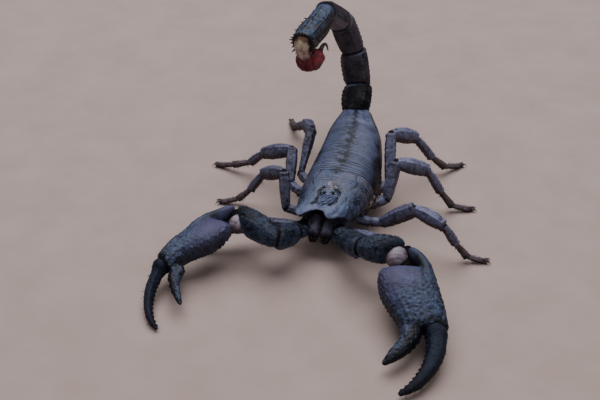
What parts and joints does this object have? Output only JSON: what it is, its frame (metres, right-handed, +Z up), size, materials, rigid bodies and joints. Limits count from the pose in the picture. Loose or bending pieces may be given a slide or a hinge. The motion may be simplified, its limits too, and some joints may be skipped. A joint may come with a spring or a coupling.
{
  "type": "scorpion",
  "caption": "Life-size still model of a large black forest scorpion, standing with its claws spread and its tail arched over its back.",
  "frame": {"origin": "middle of the footprint at floor level", "axes": "+Z up; the animal faces -Y and its left side is towards +X; the tail rises at +Y"},
  "size_m": [0.0914, 0.1262, 0.0517],
  "materials": {
    "back_shell": "satin blue-black chitin, finely wrinkled and granular",
    "leg_shell": "satin purple-black chitin",
    "tarsus_shell": "satin brown-black chitin with reddish bristles",
    "tail_shell": "glossy keeled black chitin",
    "venom_bulb": "glossy bumpy dark red chitin",
    "sting": "glossy black",
    "claw_shell": "purple-grey chitin with a fine honeycomb relief",
    "arm_shell": "granular blue-black chitin",
    "jaw_shell": "glossy dark brown-black",
    "membrane": "soft creased brown joint skin",
    "comb": "soft pale brown",
    "eye": "polished black bead"
  },
  "bodies": {
    "root": {"aculeus": "sting", "belly_plates": "leg_shell", "carapace": "back_shell", "chelicera_left": "jaw_shell", "chelicera_right": "jaw_shell", "comb_left": "comb", "comb_right": "comb", "flank_membrane": "membrane", "leg_left_1_femur": "leg_shell", "leg_left_1_foot": "tarsus_shell", "leg_left_1_shin": "leg_shell", "leg_left_2_femur": "leg_shell", "leg_left_2_foot": "tarsus_shell", "leg_left_2_shin": "leg_shell", "leg_left_3_femur": "leg_shell", "leg_left_3_foot": "tarsus_shell", "leg_left_3_shin": "leg_shell", "leg_left_4_femur": "leg_shell", "leg_left_4_foot": "tarsus_shell", "leg_left_4_shin": "leg_shell", "leg_right_1_femur": "leg_shell", "leg_right_1_foot": "tarsus_shell", "leg_right_1_shin": "leg_shell", "leg_right_2_femur": "leg_shell", "leg_right_2_foot": "tarsus_shell", "leg_right_2_shin": "leg_shell", "leg_right_3_femur": "leg_shell", "leg_right_3_foot": "tarsus_shell", "leg_right_3_shin": "leg_shell", "leg_right_4_femur": "leg_shell", "leg_right_4_foot": "tarsus_shell", "leg_right_4_shin": "leg_shell", "median_eye_left": "eye", "median_eye_right": "eye", "metasoma_1": "tail_shell", "metasoma_2": "tail_shell", "metasoma_3": "tail_shell", "metasoma_4": "tail_shell", "metasoma_5": "tail_shell", "palp_left_femur": "arm_shell", "palp_left_hand": "claw_shell", "palp_left_movable_finger": "claw_shell", "palp_left_patella": "arm_shell", "palp_left_trochanter": "arm_shell", "palp_right_femur": "arm_shell", "palp_right_hand": "claw_shell", "palp_right_movable_finger": "claw_shell", "palp_right_patella": "arm_shell", "palp_right_trochanter": "arm_shell", "prosoma_underside": "leg_shell", "tergite_1": "back_shell", "tergite_2": "back_shell", "tergite_3": "back_shell", "tergite_4": "back_shell", "tergite_5": "back_shell", "tergite_6": "back_shell", "tergite_7": "back_shell", "vesicle": "venom_bulb"}
  },
  "joints": []
}
